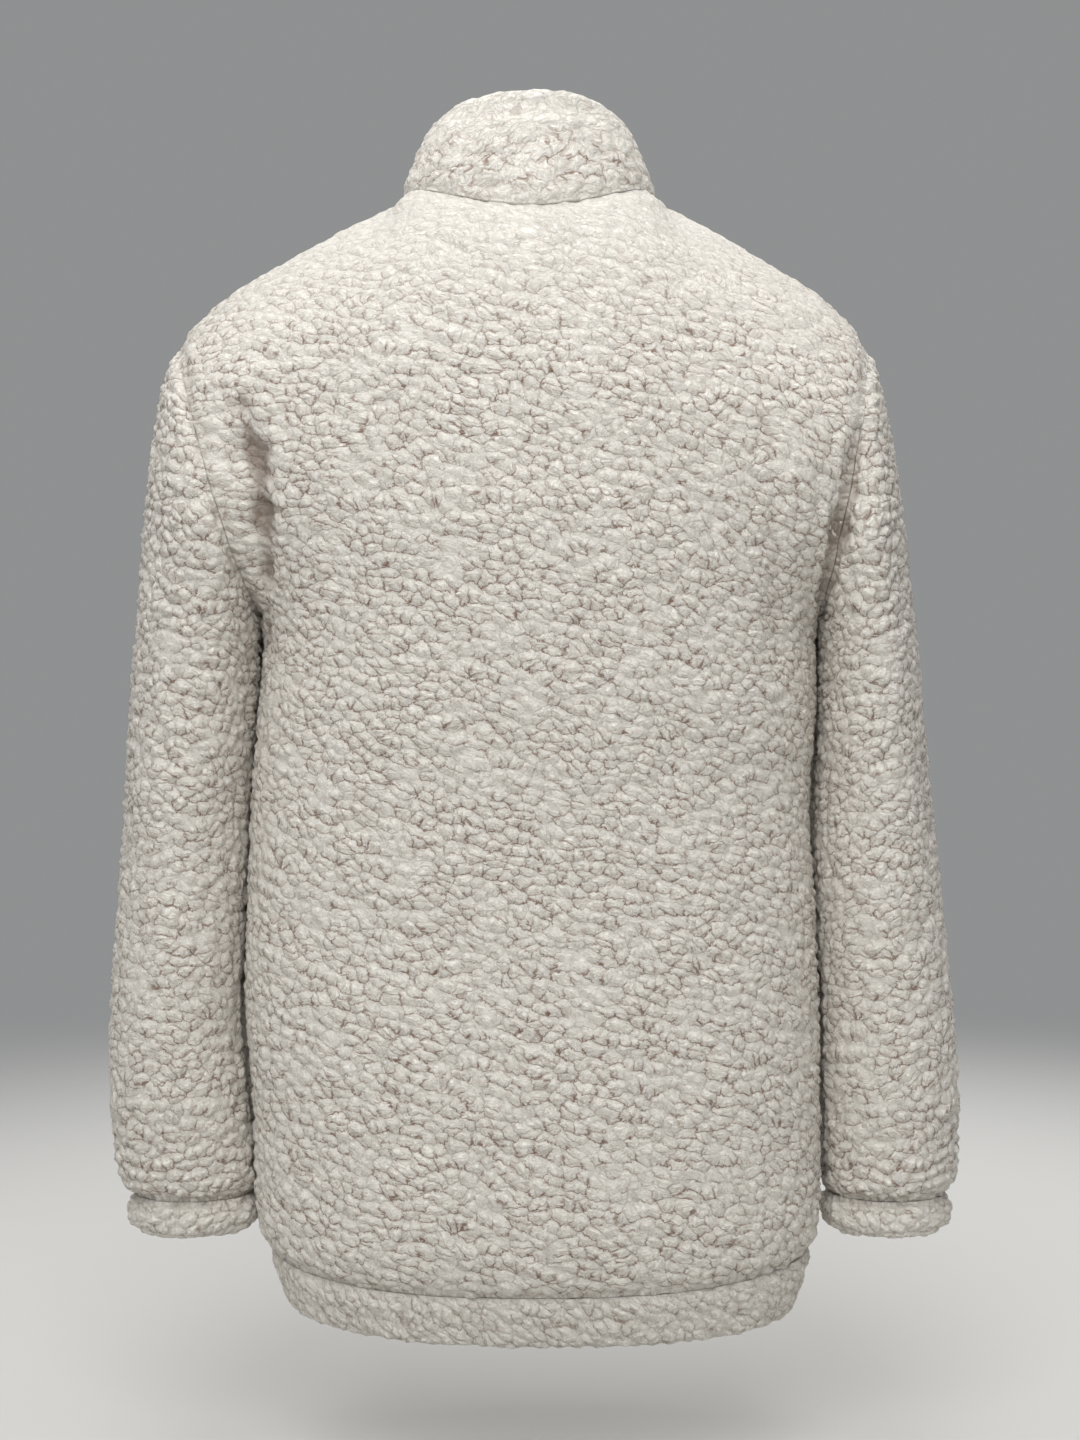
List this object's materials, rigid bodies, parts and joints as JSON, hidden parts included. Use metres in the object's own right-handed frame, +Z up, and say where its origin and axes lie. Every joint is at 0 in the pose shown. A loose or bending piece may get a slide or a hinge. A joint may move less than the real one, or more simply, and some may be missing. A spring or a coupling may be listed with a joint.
{
  "type": "half-zip pullover",
  "caption": "Hollow, worn-shaped fleece pullover with a stand collar, half zip, set-in sleeves, elastic cuffs and an elastic hem band.",
  "frame": {"origin": "middle of the neck at shoulder level, where the wearer holds the garment up", "axes": "+Z up, +Y to the back, -Y to the front, +X to the wearer's left"},
  "size_m": [0.5157, 0.2151, 0.7312],
  "materials": {
    "curly_fleece": "cream curly pile",
    "zip_tape": "cream woven tape",
    "zip_teeth": "cream moulded teeth",
    "zip_metal": "cream enamel"
  },
  "bodies": {
    "garment": {"back": "curly_fleece", "front": "curly_fleece", "sleeve_left": "curly_fleece", "sleeve_right": "curly_fleece", "collar": "curly_fleece", "hem_band": "curly_fleece", "cuff_left": "curly_fleece", "cuff_right": "curly_fleece", "zip_tape_left": "zip_tape", "zip_tape_right": "zip_tape", "zip_chain": "zip_teeth", "zip_bottom_stop": "zip_metal", "zip_slider": "zip_metal"},
    "pull_tab": {"zip_pull": "zip_metal"}
  },
  "joints": [
    {"name": "pull_tab_swing", "type": "hinge", "parent": "garment", "child": "pull_tab", "pos_m": [0, -0.07491, -0.00496], "axis": [-1, 0, 0], "range_deg": [0, 130]}
  ]
}
